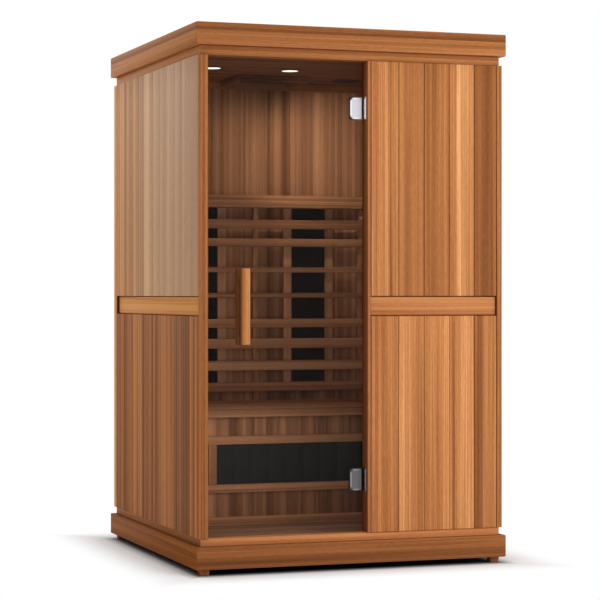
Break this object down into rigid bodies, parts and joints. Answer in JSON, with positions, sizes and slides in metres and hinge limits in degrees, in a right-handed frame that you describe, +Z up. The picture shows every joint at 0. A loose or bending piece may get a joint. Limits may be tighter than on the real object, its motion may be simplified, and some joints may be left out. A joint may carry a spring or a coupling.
{
  "type": "infrared sauna cabin",
  "caption": "Free-standing cedar sauna cabin with a hinged smoked glass door, a bench, a slatted backrest, infrared heater panels, ceiling lights and speakers.",
  "frame": {"origin": "middle of the cabin's footprint, on the ground under the feet", "axes": "+Z up, +X to the right of someone who faces the door, -Y the door side"},
  "size_m": [1.1598, 1.1996, 1.8997],
  "materials": {
    "cedar": "satin, vertical grain boards",
    "pale_cedar": "satin, pale boards and rails",
    "red_cedar": "satin, reddish plinth boards",
    "smoked_glass": "polished, smoked bronze",
    "steel": "brushed",
    "heater_black": "matte carbon panel",
    "white_plastic": "satin white",
    "grey_plastic": "matte grille",
    "black_plastic": "satin black"
  },
  "bodies": {
    "cabin": {"foot_front_left": "red_cedar", "foot_front_right": "red_cedar", "foot_back_left": "red_cedar", "foot_back_right": "red_cedar", "plinth_frame": "red_cedar", "floor_rim": "cedar", "floor_panel": "cedar", "left_wall": "cedar", "left_belt_rail": "pale_cedar", "right_wall": "cedar", "right_belt_rail": "pale_cedar", "back_wall": "cedar", "front_panel": "pale_cedar", "front_belt_rail": "pale_cedar", "door_jamb": "cedar", "door_stop": "cedar", "roof_rim": "pale_cedar", "cornice_frame": "cedar", "roof_panel": "cedar", "downlight_left": "white_plastic", "downlight_centre": "white_plastic", "speaker_left": "grey_plastic", "speaker_right": "grey_plastic", "ceiling_light_box": "cedar", "power_box": "black_plastic", "control_panel": "black_plastic", "hinge_plate_upper": "steel", "hinge_plate_lower": "steel", "bench_nosing": "pale_cedar", "bench_top": "cedar", "bench_front_panel": "cedar", "calf_heater_frame": "cedar", "calf_heater": "heater_black", "bench_skirting": "cedar", "backrest_slat_1": "cedar", "backrest_slat_2": "cedar", "backrest_slat_3": "cedar", "backrest_slat_4": "cedar", "backrest_slat_5": "cedar", "backrest_slat_6": "cedar", "backrest_slat_7": "cedar", "backrest_slat_8": "cedar", "backrest_rib_left": "cedar", "backrest_rib_centre": "cedar", "backrest_rib_right": "cedar", "backrest_top_rail": "pale_cedar", "heater_frame_left": "cedar", "heater_frame_right": "cedar", "back_heater_left": "heater_black", "back_heater_right": "heater_black"},
    "door": {"door_glass": "smoked_glass", "door_handle_outer": "pale_cedar", "door_handle_inner": "pale_cedar", "handle_bolt_upper": "steel", "handle_bolt_lower": "steel", "hinge_clamp_upper": "steel", "hinge_clamp_lower": "steel", "hinge_pin_upper": "steel", "hinge_pin_lower": "steel"}
  },
  "joints": [
    {"name": "door_hinge", "type": "hinge", "parent": "cabin", "child": "door", "pos_m": [0.03311, -0.544, 0.9675], "axis": [0, 0, 1], "range_deg": [0, 90]}
  ]
}
